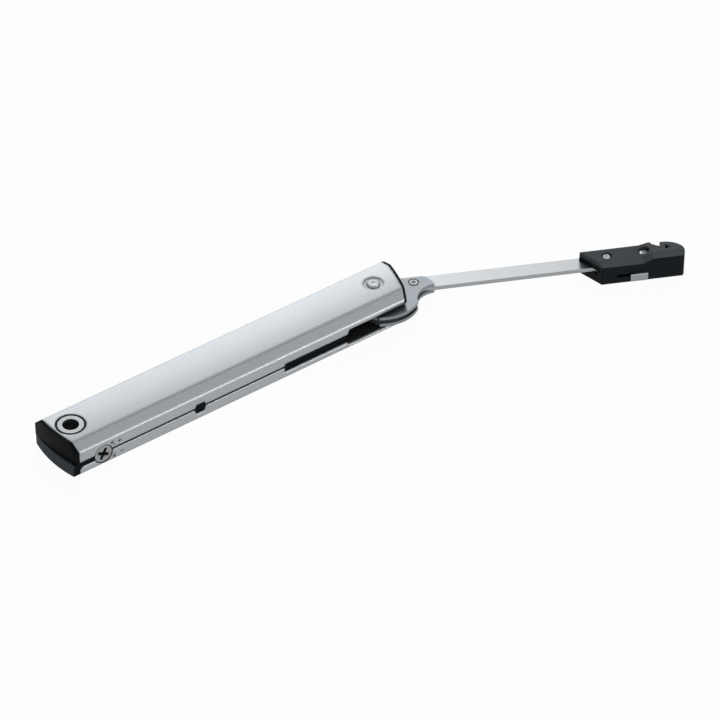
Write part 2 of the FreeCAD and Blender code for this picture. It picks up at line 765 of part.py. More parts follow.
def lever_rivets():
    """Three equal rivets that hold the plates to the cam disc."""
    made = piece("lever_rivets", "Part::Feature")
    height = number(LEVER_TOP + " - plate_low")
    rods = [Part.makeCylinder(number(radius), height, vector(number(x), number(y)))
            for x, y, radius in rivet_spots()]
    made.Shape = Part.makeCompound(rods)
    made.Placement.Base = vector(number("pivot_x"), 0, number("plate_low"))


def arm_pin():
    body = piece("arm_pin")
    seat = LEVER_TOP + " - head_pocket_depth"
    turn(body, "XZ", [("0", "plate_low"), ("arm_pin_radius", "plate_low"), ("arm_pin_radius", seat),
                      ("arm_pin_head", seat), ("arm_pin_head", LEVER_TOP), ("arm_pin_head - 0.5", LEVER_TOP + " + 0.2"),
                      ("arm_pin_head - 1", LEVER_TOP + " + 0.2"), ("0", LEVER_TOP + " - 0.3")], "V")
    place(body, "pivot_x + arm_pin_x", "arm_pin_y")


# Arm

ARM_X = "pivot_x + arm_pin_x"
ARM_Y = "arm_pin_y"
FRONT_X = "pivot_x + arm_pin_x + arm_length * cos(arm_angle)"
FRONT_Y = "arm_pin_y + arm_length * sin(arm_angle)"


def arm():
    body = piece("arm")
    far_lever = "arm_shift_lever + arm_width / 2"
    far_front = "arm_shift_front + arm_width / 2"
    near_lever = "arm_shift_lever - arm_width / 2"
    near_front = "arm_shift_front - arm_width / 2"
    corners = [
        ("0", far_lever, "eye_radius + 1.1", 1), ("-eye_radius", "0", "eye_radius", 1), ("0", "-eye_radius"),
        ("eye_radius * 1.4", near_lever), ("arm_length - eye_radius * 1.6", near_front),
        ("arm_length", "-eye_radius", "eye_radius", 1),
        ("arm_length + eye_radius", "0", "eye_radius + 1.5", 1), ("arm_length", far_front),
    ]
    pad(body, "XY", [corners, ("0", "0", "arm_pin_radius + run_gap"),
                     ("arm_length", "0", "front_rivet_radius + run_gap")],
        DISC_LOW + " + side_gap", "plate_space - 2 * side_gap")
    place(body, ARM_X, ARM_Y, "0", "arm_angle")


# Connector, built along its own axis from its rivet

def grip_plan():
    return [
        ("-grip_near_left", "-grip_half"), ("grip_length - grip_corner", "-grip_half", "grip_corner", 1),
        ("grip_length", "grip_corner - grip_half"),
        ("grip_length", "hook_y - hook_radius + sqrt(hook_radius ^ 2 - (grip_length - hook_x) ^ 2)",
         "hook_radius", 1),
        ("hook_x", "hook_y"), ("hook_x - 0.8", "hook_y"), ("jaw_x", "jaw_y"),
        ("jaw_edge_x", "jaw_edge_y"), ("jaw_edge_x", "grip_half"),
        ("grip_corner - grip_left", "grip_half", "grip_corner", 1),
        ("-grip_left", "grip_half - grip_corner"), ("-grip_left", "cut_far"),
        ("-cut_near_x", "-cut_near_y", "grip_corner", 1),
    ]


TRIANGLE = [("hook_hole_x", "hook_hole_y"), ("hook_hole_low_x", "hook_hole_low_y"),
            ("hook_hole_tip_x", "hook_hole_tip_y")]


def place_grip(made):
    place(made, FRONT_X, FRONT_Y, "0", "grip_angle")


def connector_base():
    body = piece("connector_base")
    pad(body, "XY", [grip_plan()], "0", "grip_split")
    reach = "(arm_shift_front + arm_width / 2 + 0.2)"
    pocket(body, "XY", [[
        ("0", "-eye_radius - 0.3", "eye_radius + 0.6", 1), ("eye_radius + 0.4", "-1.9"),
        ("%s * cos(16)" % reach, "%s * sin(16)" % reach, reach, 1),
        ("%s * cos(44)" % reach, "%s * sin(44)" % reach), ("2.6", "grip_half + 1.5"),
        ("-grip_left - 2", "grip_half + 1.5"), ("-grip_left - 2", "-eye_radius - 0.3"),
    ]], "grip_split + 1", "grip_split + 1 - arm_bed")
    pocket(body, "XY", [("0", "0", "front_rivet_radius")], "grip_split + 1", "grip_split + 2")
    pocket(body, "XY", [("grip_screw_x", "0", "grip_screw_radius")], "grip_split + 1",
           "grip_split + 1 - grip_screw_foot")
    pocket(body, "XY", [TRIANGLE], "grip_split + 1", "grip_split + 2")
    pocket(body, "XZ", [box("latch_slot_start", "latch_slot_end", "latch_slot_low", "latch_slot_top")],
           "grip_half + 1", "latch_slot_depth + 1")
    place_grip(body)


def connector_cover():
    body = piece("connector_cover")

    def section(top, tilt, chamfer):
        crest = "grip_half - " + chamfer
        fall = "%s * (2 * grip_half - grip_chamfer - %s)" % (tilt, chamfer)
        return [("-grip_half", "grip_split"), ("grip_half", "grip_split"),
                ("grip_half", "%s - %s - %s" % (top, fall, chamfer)), (crest, "%s - %s" % (top, fall)),
                ("grip_chamfer - grip_half", top), ("-grip_half", top + " - grip_chamfer")]

    left = section("grip_left_top", "0", "grip_chamfer")
    right = section("grip_right_top", "grip_tilt", "grip_chamfer / 2")
    loft = body.newObject("PartDesign::AdditiveLoft", "grip_back")
    loft.Profile = draw(body, "YZ", [left], "-grip_left - 1")
    loft.Sections = [draw(body, "YZ", [left], "ramp_start"), draw(body, "YZ", [right], "ramp_end"),
                     draw(body, "YZ", [right], "grip_length + 1")]
    loft.Ruled = True
    over = "grip_right_top + 1"
    pocket(body, "XY", [FRAME, grip_plan()], over, over)
    pocket(body, "XY", [("0", "0", "rivet_hole")], over, over)
    pocket(body, "XY", [("grip_screw_x", "0", "grip_screw_radius")], over, over)
    pocket(body, "XY", [("grip_screw_x", "0", "grip_screw_hole")], over,
           over + " - (grip_left_top - grip_screw_depth - 1.5)")
    pocket(body, "XY", [TRIANGLE], over, over)
    pocket(body, "XY", [box("-grip_left - 2", "liner_right + 0.1", "-liner_half - 0.1", "liner_half + 0.1")],
           "grip_split + liner_thick + 0.05", "liner_thick + 0.1")
    place_grip(body)


def connector_fittings():
    body = piece("connector_liner")
    slope = "(cut_near_x - grip_left) / (cut_far + cut_near_y)"
    edge = "-(cut_near_x) + (%s) * (%%s + cut_near_y) - liner_proud * 1.24" % slope
    pad(body, "XY", [[("liner_right", "-liner_half"), ("liner_right", "liner_half"),
                      (edge % "cut_far", "liner_half"), (edge % "cut_far", "cut_far"),
                      (edge % "-liner_half", "-liner_half")], ("0", "0", "rivet_hole")],
        "grip_split + 0.05", "liner_thick")
    place_grip(body)
    body = piece("connector_rivet")
    top = "grip_left_top - rivet_recess"
    turn(body, "XZ", [("0", "front_rivet_foot"), ("front_rivet_radius", "front_rivet_foot"),
                      ("front_rivet_radius", top + " - 0.3"), ("front_rivet_radius - 0.3", top),
                      ("0.9", top), ("0", top + " - 0.4")], "V")
    place_grip(body)
    body = piece("connector_screw")
    head = "grip_left_top - grip_screw_depth"
    turn(body, "XZ", [("0", "grip_screw_foot"), ("grip_screw_radius", "grip_screw_foot"),
                      ("grip_screw_radius", head + " - 1.5"), ("grip_screw_head", head + " - 1.5"),
                      ("grip_screw_head", head), ("0", head)], "V")
    place(body, FRONT_X + " + grip_screw_x * cos(grip_angle)", FRONT_Y + " + grip_screw_x * sin(grip_angle)",
          "0", "grip_angle")


def latch():
    body = piece("latch_tab")
    wall = "grip_half + latch_gap"
    pad(body, "XZ", [box("latch_start", "latch_end", "latch_low", "latch_top")], wall, "latch_sheet")
    pad(body, "XZ", [box("latch_rib_start", "latch_rib_end", "latch_slot_low + latch_gap", "latch_top")],
        "grip_half - latch_slot_depth + latch_gap", "latch_slot_depth + latch_sheet")
    pad(body, "XZ", [box("latch_rib_start", "latch_end", "latch_top - latch_sheet", "latch_top")],
        "grip_half - latch_slot_depth / 2", "latch_slot_depth / 2 + latch_sheet")
    place_grip(body)
    start = number("latch_slot_start")
    length = number("latch_rib_start") - start
    made = coil("latch_spring", start, length, number("latch_spring_radius"), number("latch_wire"),
                int(number("latch_turns")), 6)
    spin = FreeCAD.Rotation(vector(0, 0, 1), number("grip_angle"))
    inset = spin.multVec(vector(0, number("latch_slot_depth / 2 - grip_half"), 0))
    middle = number("(latch_slot_low + latch_top) / 2")
    made.Placement = FreeCAD.Placement(vector(number(FRONT_X), number(FRONT_Y), middle) + inset, spin)


top_cover()
base_tray()
rear_cap()
front_trim()
mounting_bush()
inner_frame()
pivot_parts()
adjusting_screw()
bevel_gear("screw_pinion", vector(0, -1, 0), 0.0)
spindle()
bevel_gear("spindle_gear", vector(1, 0, 0), 180 / number("gear_teeth"))
spring_seat()
main_springs()
slider()
roller_parts()
lever_plates()
cam_disc()
lever_rivets()
arm_pin()
arm()
connector_base()
connector_cover()
connector_fittings()
latch()
doc.recompute()

for item in doc.Objects:
    if "Invalid" in item.State or "Error" in item.State:
        raise RuntimeError("%s failed: %s" % (item.Label, item.getStatusString()))
for item in doc.Objects:
    if item.TypeId == "PartDesign::Pocket" and item.Shape.Volume > item.BaseFeature.Shape.Volume - 0.001:
        raise RuntimeError("%s takes nothing away" % item.Label)
for made in pieces:
    if made.Shape.isNull() or not made.Shape.isValid():
        raise RuntimeError("%s has no valid shape" % made.Label)

os.makedirs("parts", exist_ok=True)
for made in pieces:
    made.Shape.exportStep("parts/%s.step" % made.Label)
    print("%-20s %d solids %9.2f mm3" % (made.Label, len(made.Shape.Solids), made.Shape.Volume))
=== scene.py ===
import json
import math

import bpy
import numpy as np
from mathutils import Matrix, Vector


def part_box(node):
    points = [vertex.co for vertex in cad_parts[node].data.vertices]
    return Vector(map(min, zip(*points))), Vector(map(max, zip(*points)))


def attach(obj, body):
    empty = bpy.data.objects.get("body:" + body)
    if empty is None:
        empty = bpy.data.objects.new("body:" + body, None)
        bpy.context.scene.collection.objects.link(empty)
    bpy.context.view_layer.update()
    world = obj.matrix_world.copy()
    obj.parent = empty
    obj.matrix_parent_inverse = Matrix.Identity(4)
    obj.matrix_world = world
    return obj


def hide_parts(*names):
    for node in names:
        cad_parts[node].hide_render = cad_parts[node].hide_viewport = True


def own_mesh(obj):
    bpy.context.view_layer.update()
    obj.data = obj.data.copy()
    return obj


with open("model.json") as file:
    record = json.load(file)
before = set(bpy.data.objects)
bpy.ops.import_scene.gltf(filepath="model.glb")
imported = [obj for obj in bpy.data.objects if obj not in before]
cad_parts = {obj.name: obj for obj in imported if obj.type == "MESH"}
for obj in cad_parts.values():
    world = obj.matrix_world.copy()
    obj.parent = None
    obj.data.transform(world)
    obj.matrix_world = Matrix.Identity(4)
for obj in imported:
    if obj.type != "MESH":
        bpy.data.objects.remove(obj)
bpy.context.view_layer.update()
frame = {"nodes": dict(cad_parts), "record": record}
nodes = frame["nodes"]
print("frame loaded:", len(nodes), "nodes")


# shader maths

crisp, fine, loose = 0.0001, 0.0002, 0.0003  # metres over which a mask goes from 0 to 1
greenShare = 0.45  # how much of the cool tint the green gets
edgeRays = 6  # sent from each point to find the edges near it


class Wire:  # one output socket; expressions on it add Math nodes
    def __init__(self, surface, socket):
        self.surface = surface
        self.socket = socket

    def calc(self, operation, first, second):
        return self.surface.node("ShaderNodeMath", {"operation": operation}, {0: first, 1: second})

    def __add__(self, other):
        return self.calc("ADD", self, other)

    def __radd__(self, other):
        return self.calc("ADD", other, self)

    def __sub__(self, other):
        return self.calc("SUBTRACT", self, other)

    def __rsub__(self, other):
        return self.calc("SUBTRACT", other, self)

    def __mul__(self, other):
        return self.calc("MULTIPLY", self, other)

    def __rmul__(self, other):
        return self.calc("MULTIPLY", other, self)

    def __pow__(self, other):
        return self.calc("POWER", self, other)

    def __abs__(self):
        return self.calc("ABSOLUTE", self, 0.0)

    def least(self, other):
        return self.calc("MINIMUM", self, other)

    def most(self, other):
        return self.calc("MAXIMUM", self, other)

    def over(self, level, soft):  # 0 below the level and 1 above it, with a soft step
        return self.surface.node("ShaderNodeMapRange", {"interpolation_type": "SMOOTHSTEP"},
                                 {"Value": self, "From Min": level - soft / 2,
                                  "From Max": level + soft / 2})


class Surface:  # a material or world and the nodes that it is made of
    def __init__(self, owner):
        self.owner = owner
        owner.use_nodes = True
        self.tree = owner.node_tree
        self.tree.nodes.clear()

    def node(self, kind, settings=None, sockets=None, out=0):
        made = self.tree.nodes.new(kind)
        for name, value in (settings or {}).items():
            setattr(made, name, value)
        for name, value in (sockets or {}).items():
            if isinstance(value, Wire):
                self.tree.links.new(value.socket, made.inputs[name])
            else:
                made.inputs[name].default_value = value
        return Wire(self, made.outputs[out]) if len(made.outputs) else None

    def noise(self, scale, detail=2.0, stretch=None, turn=0.0):
        # fractal noise on object coordinates, drawn out along one axis where stretch says so
        place = self.node("ShaderNodeTexCoord", out="Object")
        if stretch:
            place = self.node("ShaderNodeMapping", {"vector_type": "TEXTURE"},
                              {"Vector": place, "Rotation": (0, 0, turn), "Scale": stretch})
        return self.node("ShaderNodeTexNoise", {}, {"Vector": place, "Scale": scale, "Detail": detail})

    def place(self):
        # x, y and z of the point in the object's own metres
        spot = self.node("ShaderNodeTexCoord", out="Object")
        return [self.node("ShaderNodeSeparateXYZ", {}, {"Vector": spot}, out=axis) for axis in range(3)]

    def blend(self, factor, dark, light):
        # colour between dark and light
        return self.node("ShaderNodeMix", {"data_type": "RGBA"}, {0: factor, 6: dark, 7: light}, out=2)

    def twoTone(self, factor, look):
        # colour that the factor moves from the base less its spread to the base plus its spread
        return self.blend(factor, grey(look["base"] - look["spread"], look["cool"]),
                          grey(look["base"] + look["spread"], look["cool"]))

    def relief(self, height, strength, depth, under):
        # bump from a height field, on top of another normal
        return self.node("ShaderNodeBump", {}, {"Height": height, "Strength": strength,
                                                "Distance": depth, "Normal": under})

    def rounded(self, radius, where=None):
        # normal that is rounded where two faces meet, all over or only where a mask says so
        soft = self.node("ShaderNodeBevel", {"samples": edgeRays}, {"Radius": radius})
        if not where:
            return soft
        plain = self.node("ShaderNodeNewGeometry", out="Normal")
        return self.node("ShaderNodeMix", {"data_type": "VECTOR"}, {0: where, 4: plain, 5: soft}, out=1)

    def finish(self, values):
        shader = self.node("ShaderNodeBsdfPrincipled", {}, values)
        self.node("ShaderNodeOutputMaterial", {}, {"Surface": shader})
        return self.owner


def newSurface(name):
    return Surface(bpy.data.materials.new(name))


def grey(value, cool=0.0):
    # a grey with less red, and a little less green, the cooler it is
    return (value * (1 - cool), value * (1 - cool * greenShare), value, 1)


def reach(across, along):
    # distance from an axis, from two coordinates measured off it
    return (across * across + along * along) ** 0.5


def uneven(level, grain, swing):
    # a level that noise about one half moves up and down
    return level + (grain - 0.5) * swing


def crossArms(u, v, angle, half, soft):
    # 1 on the arms of a cross: one coordinate in axes turned by the angle is under half the arm's width
    first = u * math.cos(angle) + v * math.sin(angle)
    second = v * math.cos(angle) - u * math.sin(angle)
    return 1 - abs(first).least(abs(second)).over(half, soft)


def stepped(start, angle, length):
    return (start[0] + length * math.cos(angle), start[1] + length * math.sin(angle))


# where the mechanism stands at rest

gripTurn = math.radians(-25.9)
armTurn = math.radians(-26.74)
armLength = 0.09287
gripScrewReach = 0.0182
pivot = (0.17, 0.0)
armRivet = (0.19163, -0.00272)
frontRivet = stepped(armRivet, armTurn, armLength)
gripScrew = stepped(frontRivet, gripTurn, gripScrewReach)


# finishes, each with the values that a user would change

silver = {"base": 0.44, "flake": 0.05, "cool": 0.1, "metal": 0.57, "rough": 0.33,
          "flakeScale": 9000, "flakeShare": 0.6, "flakeSwing": 0.08, "cloudScale": 60, "cloudSwing": 0.05,
          "grain": 5200, "bump": 0.08, "depth": 0.00004, "edge": 0.0016, "farEdge": 0.009, "farFade": 0.003,
          "crown": 3.2, "crownStart": 0.0161}
# near black for the painted shade in the shells' gaps and for their inside, and where that inside lies
paintedShadeAndInside = {"base": 0.012, "cool": 0.15, "rough": 0.3, "half": 0.01342, "top": 0.0153, "slant": 0.026,
        "end": 0.174, "low": 0.0009}
seam = {"low": 0.00555, "high": 0.00668}
screw = {"place": (0.0075, 0.00525), "hole": 0.00498, "wall": -0.012, "rim": 0.00442,
         "turn": math.radians(-28), "arm": 0.00088, "reach": 0.0032, "core": 0.0018, "depth": 0.0135}
bush = {"gap": 0.0072, "low": 0.014, "rim": 0.00598, "bore": 0.00405, "depth": 0.0157, "fade": 0.0004}


def silverPaint():
    # fine flake noise and slower noise together move the colour between two greys, and each varies the
    # sheen; all edges but the far ones are rounded;
    # the top face is crowned: its height falls with the square of the distance from the middle line;
    # the shells' edge faces along the seam and round the screw and the bush are painted dark as the shade
    # in those gaps, and the inside of the shells is dark too: nearer the middle line than the inner half
    # width, under the inner top, and where the distance across and the height add up to less than the slant
    s = newSurface("silver_paint")
    along, across, height = s.place()
    soft = s.rounded(silver["edge"], 1 - across.over(silver["farEdge"], silver["farFade"]))
    crown = s.relief(across * across * -silver["crown"] * height.over(silver["crownStart"], fine),
                     1.0, 1.0, soft)
    flake = s.noise(silver["flakeScale"], 1.0)
    cloud = s.noise(silver["cloudScale"], 3.0)
    mixed = flake * silver["flakeShare"] + cloud * (1 - silver["flakeShare"])
    paint = s.blend(mixed, grey(silver["base"] * (1 - silver["flake"]), silver["cool"]),
                    grey(silver["base"] * (1 + silver["flake"]), silver["cool"]))
    # painted shade along the seam, in the hole round the screw and in the gap round the bush
    seamShade = height.over(seam["low"], crisp) * (1 - height.over(seam["high"], crisp))
    fromScrew = reach(along - screw["place"][0], height - screw["place"][1])
    hole = (1 - fromScrew.over(screw["hole"], crisp)) * (1 - across.over(screw["wall"], fine))
    ring = (1 - reach(along, across).over(bush["gap"], crisp)) * height.over(bush["low"], fine)
    inner = 1 - reach((along - paintedShadeAndInside["end"]).most(0.0), across).over(paintedShadeAndInside["half"], crisp)
    under = 1 - height.over(paintedShadeAndInside["top"], crisp)
    slanted = 1 - (abs(across) + height).over(paintedShadeAndInside["slant"], crisp)
    inside = inner * height.over(paintedShadeAndInside["low"], fine) * (under * slanted)
    # the painted shade in those gaps joins the dark inside of the shells
    shadeAndInsideMask = seamShade.most(hole).most(ring).most(inside)
    rough = uneven(uneven(silver["rough"], flake, silver["flakeSwing"]), cloud, silver["cloudSwing"])
    return s.finish({"Base Color": s.blend(shadeAndInsideMask, paint, grey(paintedShadeAndInside["base"], paintedShadeAndInside["cool"])),
                     "Metallic": silver["metal"] * (1 - shadeAndInsideMask), "Roughness": rough + shadeAndInsideMask * paintedShadeAndInside["rough"],
                     "Normal": s.relief(s.noise(silver["grain"]), silver["bump"], silver["depth"], crown)})


moulding = {"patch": 180, "swing": 0.14, "depth": 0.00006, "plainBump": 0.16, "etchedBump": 0.2}
plastic = {"base": 0.008, "spread": 0.002, "cool": 0.32, "rough": 0.48, "shine": 0.03, "grain": 2600,
           "edge": 0.00035}
# the light colour is painted light on the cap's toe; its back keeps the dark one
cap = {"dark": (0.006, 0.4), "light": (0.16, 0.22), "patchLow": 0.85, "patchSwing": 0.3,
       "rough": 0.46, "etchedRough": 0.12, "etchedGrain": 0.5, "shine": plastic["shine"],
       "grain": plastic["grain"], "edge": plastic["edge"], "crease": 0.0058, "wall": -0.0146}
# the light colour is painted light on the connector's top and bevel; the walls below keep the dark one
grip = {"dark": (0.015, 0.4), "light": (0.135, 0.2), "patchLow": 0.88, "patchSwing": 0.24,
        "rough": 0.5, "etchedRough": 0.08, "etchedGrain": 0.4, "shine": 0.06, "grain": 3200, "edge": 0.0009,
        "start": 0.0099, "soft": 0.0005, "rampStart": 0.0165, "rampEnd": 0.021, "rise": 0.0023}


def mouldedPlastic(name, look):
    # spark-eroded grain: fine noise in the bump and the roughness, coarser noise in the colour
    s = newSurface(name)
    grain = s.noise(look["grain"], 3.0)
    return s.finish({"Base Color": s.twoTone(s.noise(moulding["patch"]), look),
                     "Roughness": uneven(look["rough"], grain, moulding["swing"]),
                     "Specular IOR Level": look["shine"],
                     "Normal": s.relief(grain, moulding["plainBump"], moulding["depth"],
                                        s.rounded(look["edge"]))})


def etchedAndPaintedLightPlastic(s, etchAndPaintedLight, look):
    # where the mask is 1 the colour goes from dark to light, mottled by slow noise, which is painted light;
    # there the roughness also rises and the grain gets its full depth, which is the etch; elsewhere the
    # grain lacks the etch's share of its depth
    grain = s.noise(look["grain"], 3.0)
    paintedLightMottle = etchAndPaintedLight * (look["patchLow"] + s.noise(moulding["patch"]) * look["patchSwing"])
    height = grain * (1 - look["etchedGrain"] + etchAndPaintedLight * look["etchedGrain"])
    rough = uneven(look["rough"], grain, moulding["swing"]) + etchAndPaintedLight * look["etchedRough"]
    return s.finish({"Base Color": s.blend(paintedLightMottle, grey(*look["dark"]), grey(*look["light"])),
                     "Roughness": rough, "Specular IOR Level": look["shine"],
                     "Normal": s.relief(height, moulding["etchedBump"], moulding["depth"],
                                        s.rounded(look["edge"]))})


def gripPlastic():
    # the connector's top and bevel carry the etch and are rougher, and their colour is painted light,
    # lighter than the walls below them, which are smoother and darker; the border rises where the connector
    # gets thicker, between two distances along it
    s = newSurface("connector_plastic")
    x, y, z = s.place()
    along = (x - frontRivet[0]) * math.cos(gripTurn) + (y - frontRivet[1]) * math.sin(gripTurn)
    ramp = s.node("ShaderNodeMapRange", {}, {"Value": along, "From Min": grip["rampStart"],
                                             "From Max": grip["rampEnd"], "To Max": grip["rise"]})
    return etchedAndPaintedLightPlastic(s, (z - ramp).over(grip["start"], grip["soft"]), grip)


def capPlastic():
    # the cap's toe, below the crease and behind the near wall, carries the etch and is rougher, and its
    # colour is painted light, lighter than its back
    s = newSurface("cap_plastic")
    across, height = s.place()[1:]
    toe = (1 - height.over(cap["crease"], loose)) * across.over(cap["wall"], fine)
    return etchedAndPaintedLightPlastic(s, toe, cap)


rolled = {"grain": 2600, "grainShare": 0.7, "patch": 90, "metal": 0.85, "swing": 0.12, "bump": 0.1,
          "depth": 0.00003}
lever = {"base": 0.25, "spread": 0.035, "cool": 0.14, "rough": 0.38, "edge": 0.00015}
satin = {"base": 0.36, "spread": 0.04, "cool": 0.07, "rough": 0.33, "edge": 0.0002}
zinc = {"base": 0.31, "spread": 0.03, "cool": 0.07, "rough": 0.34, "edge": 0.00012}
rivet = {"base": 0.46, "spread": 0.04, "cool": 0.05, "rough": 0.36, "edge": 0.00012}
# near black for the latch spring: the painted shade of the slot that it lies in
paintedSlotShade = {"base": 0.004, "spread": 0.001, "cool": 0.1, "rough": 0.6, "edge": 0.0001}
oxide = {"base": 0.02, "spread": 0.006, "cool": 0.1, "rough": 0.45, "edge": 0.0001}


def brushedSteel(name, look, stretch=(1.0, 1.0, 1.0), turn=0.0):
    # grain is noise drawn out along the rolling direction, in colour, roughness and bump, and slower
    # noise mixes into the colour
    s = newSurface(name)
    grain = s.noise(rolled["grain"], 3.0, stretch, turn)
    mixed = grain * rolled["grainShare"] + s.noise(rolled["patch"]) * (1 - rolled["grainShare"])
    return s.finish({"Base Color": s.twoTone(mixed, look), "Metallic": rolled["metal"],
                     "Roughness": uneven(look["rough"], grain, rolled["swing"]),
                     "Normal": s.relief(grain, rolled["bump"], rolled["depth"], s.rounded(look["edge"]))})


# the dark colour is the near black of the heads' painted shade
plated = {"grain": 1800, "patch": 240, "metal": 0.85, "swing": 0.12, "bump": 0.12, "depth": 0.00003,
          "dark": (0.012, 0.1), "darkMetal": 0.8, "darkRough": 0.2}
heads = {"armRing": 0.0008, "frontRing": 0.0009, "ringHalf": 0.00012, "ringShade": 0.8,
         "tick": 0.0016, "tickHalf": 0.0003, "tickTurn": math.radians(20)}
# the lighter grey of the tab's folded top edge is a painted highlight
latch = {"base": 0.32, "paintedHighlight": 0.5, "spread": 0.02, "cool": 0.1, "rough": 0.36, "edge": 0.00015,
         "top": 0.00415}


def zincHead(name, shade, look):
    # grain and patches in equal parts move the colour between two greys; shade is a function that gives
    # the head's dark parts, painted shade in its recesses and gaps, from the surface's own x, y and z;
    # those parts are near black and hardly metallic
    s = newSurface(name)
    dark = shade(s)
    grain = s.noise(plated["grain"], 3.0)
    bright = s.twoTone(grain * 0.5 + s.noise(plated["patch"], 3.0) * 0.5, look)
    rough = uneven(look["rough"], grain, plated["swing"]) + dark * plated["darkRough"]
    return s.finish({"Base Color": s.blend(dark, bright, grey(*plated["dark"])),
                     "Metallic": plated["metal"] - dark * plated["darkMetal"], "Roughness": rough,
                     "Normal": s.relief(grain, plated["bump"], plated["depth"], s.rounded(look["edge"]))})


def bushShade(s):
    # painted shade in the bore below its rim and on the flange's outer edge
    along, across, height = s.place()
    radius = reach(along, across)
    inside = (1 - radius.over(bush["bore"], crisp)) * (1 - height.over(bush["depth"], bush["fade"]))
    return inside.most(radius.over(bush["rim"], crisp))


def screwShade(s):
    # painted shade: the cross recess as far as its reach, its core, the head's outer edge and all that lies
    # deeper
    along, across, height = s.place()
    u, v = along - screw["place"][0], height - screw["place"][1]
    radius = reach(u, v)
    arms = crossArms(u, v, screw["turn"], screw["arm"], fine)
    recess = arms.most(1 - radius.over(screw["core"], loose)) * (1 - radius.over(screw["reach"], loose))
    return recess.most(radius.over(screw["rim"], crisp)).most(across.over(-screw["depth"], crisp))


def ringShade(place, ring):
    # a fine dark ring round a centre on a rivet head, painted shade
    def shade(s):
        along, across = s.place()[:2]
        off = abs(reach(along - place[0], across - place[1]) - ring)
        return (1 - off.over(heads["ringHalf"], heads["ringHalf"])) * heads["ringShade"]
    return shade


def tickShade(place, length, turn):
    # four narrow ticks of a cross recess about a centre, painted as the shade in the recess
    def shade(s):
        along, across = s.place()[:2]
        u, v = along - place[0], across - place[1]
        return crossArms(u, v, turn, heads["tickHalf"], crisp) * (1 - reach(u, v).over(length, fine))
    return shade


def latchSteel():
    # plain zinc with fine grain; its folded top edge, above a height, is brighter, a painted highlight
    s = newSurface("latch_zinc")
    grain = s.noise(plated["grain"], 3.0)
    paintedHighlight = s.place()[2].over(latch["top"], crisp)
    colour = s.blend(paintedHighlight, s.twoTone(grain, latch), grey(latch["paintedHighlight"], latch["cool"]))
    return s.finish({"Base Color": colour, "Metallic": plated["metal"],
                     "Roughness": uneven(latch["rough"], grain, plated["swing"]),
                     "Normal": s.relief(grain, plated["bump"], plated["depth"], s.rounded(latch["edge"]))})


finishes = {
    "silver_paint": silverPaint(),
    "black_plastic": mouldedPlastic("black_plastic", plastic),
    "connector_plastic": gripPlastic(),
    "bush_zinc": zincHead("bush_zinc", bushShade, zinc),
    "zinc_steel": brushedSteel("zinc_steel", zinc),
    "satin_steel": brushedSteel("satin_steel", satin, (30.0, 1.0, 1.0), armTurn),
    "lever_steel": brushedSteel("lever_steel", lever, (6.0, 1.0, 1.0)),
    "spring_steel": brushedSteel("spring_steel", oxide),
}
ownFinish = {
    "latch_tab": latchSteel(),
    "rear_cap": capPlastic(),
    "adjusting_screw": zincHead("screw_zinc", screwShade, zinc),
    "arm_pin": zincHead("arm_rivet_zinc", ringShade(armRivet, heads["armRing"]), zinc),
    "connector_rivet": zincHead("front_rivet_zinc", ringShade(frontRivet, heads["frontRing"]), rivet),
    "connector_screw": zincHead("grip_screw_zinc", tickShade(gripScrew, heads["tick"], heads["tickTurn"]),
                                rivet),
}
slotOf = {item["node"]: item["material_slot"] for item in frame["record"]["subparts"]}
for name, shown in nodes.items():
    for slot in shown.material_slots:
        slot.material = ownFinish.get(name) or finishes[slotOf[name]]
print("finishes made:", len(finishes))


# new pieces

def meshPiece(name, points, faces, body, look, smooth=True):
    mesh = bpy.data.meshes.new(name)
    mesh.from_pydata(points.tolist(), [], faces)
    mesh.polygons.foreach_set("use_smooth", np.full(len(mesh.polygons), smooth))
    mesh.update()
    made = bpy.data.objects.new(name, mesh)
    bpy.context.scene.collection.objects.link(made)
    made.data.materials.append(look)
    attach(made, body)
    return made


def gridFaces(rows, columns, wrap):
    # quads between neighbours of a rows by columns grid; wrap joins the last column to the first
    last = columns if wrap else columns - 1
    row, column = np.meshgrid(np.arange(rows - 1), np.arange(last), indexing="ij")
    a = row * columns + column
    b = row * columns + (column + 1) % columns
    return np.stack([a, b, b + columns, a + columns], axis=-1).reshape(-1, 4)


latheSides = 72


def lathe(name, place, profile, body, look):
    # a profile of radius and height in millimetres turned about an upright axis, with flat ends
    shape = np.array(profile) / 1000
    angle = np.linspace(0, 2 * math.pi, latheSides, endpoint=False)[None, :]
    radius, height = shape[:, :1], shape[:, 1:]
    points = np.stack([place[0] + radius * np.cos(angle), place[1] + radius * np.sin(angle),
                       height + 0 * angle], axis=-1)
    rows, columns = len(profile), latheSides
    ends = [list(range(columns))[::-1], list(range((rows - 1) * columns, rows * columns))]
    faces = gridFaces(rows, columns, True).tolist() + ends
    return meshPiece(name, points.reshape(-1, 3), faces, body, look)


pinProfile = [(2.6, 0.2), (2.95, 0.28), (3.05, 0.5), (3.05, 16.3), (3.0, 16.46), (2.86, 16.56),
              (2.6, 16.6), (1.5, 16.62), (1.3, 16.6), (1.12, 16.5), (0.9, 16.44), (0.3, 16.43)]
pin = lathe("pivot_pin_head", pivot, pinProfile, "housing", finishes["silver_paint"])
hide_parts("pivot_pin")
screwProfile = [(0.9, 3.0), (1.25, 3.15), (1.3, 3.4), (1.3, 9.6), (2.2, 9.7), (2.3, 9.9),
                (2.3, 11.0), (2.2, 11.2), (1.95, 11.32), (0.4, 11.36)]
gripScrewHead = lathe("grip_screw_head", gripScrew, screwProfile, "connector",
                      ownFinish["connector_screw"])
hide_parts("connector_screw")
print("pin and screw heads made")

